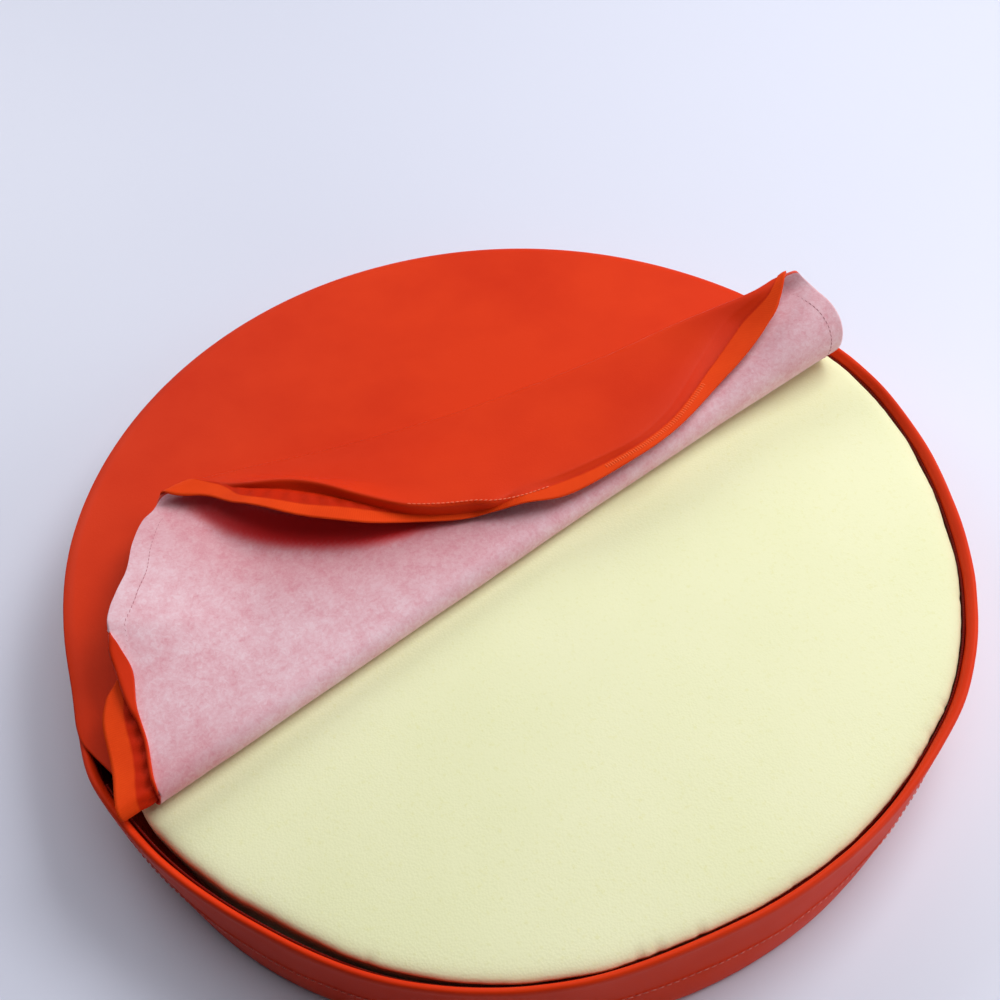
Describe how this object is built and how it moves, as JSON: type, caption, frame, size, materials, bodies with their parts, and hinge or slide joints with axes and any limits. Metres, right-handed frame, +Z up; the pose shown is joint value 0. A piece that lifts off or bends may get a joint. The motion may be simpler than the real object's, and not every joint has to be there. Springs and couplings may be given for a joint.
{
  "type": "round seat cushion",
  "caption": "Round foam cushion in a zipped red leatherette cover, its top panel unzipped and folded back over itself to bare the foam.",
  "frame": {"origin": "middle of the flat underside, on the surface that the cushion lies on", "axes": "+Z up out of the seat face; -Y towards the bared foam; the first fold of the top panel runs 35.9 degrees anticlockwise of +X"},
  "size_m": [0.4558, 0.4543, 0.1028],
  "materials": {
    "leatherette": "satin coated cloth",
    "top_panel": "satin coated cloth with a brushed pink backing",
    "foam": "fine open foam",
    "rim_tape": "woven zip tape",
    "flap_tape": "woven zip tape"
  },
  "bodies": {
    "root": {"bottom_panel": "leatherette", "boxing": "leatherette", "foam": "foam", "rim_tape": "rim_tape", "top_panel": "top_panel", "flap_tape": "flap_tape"}
  },
  "joints": []
}
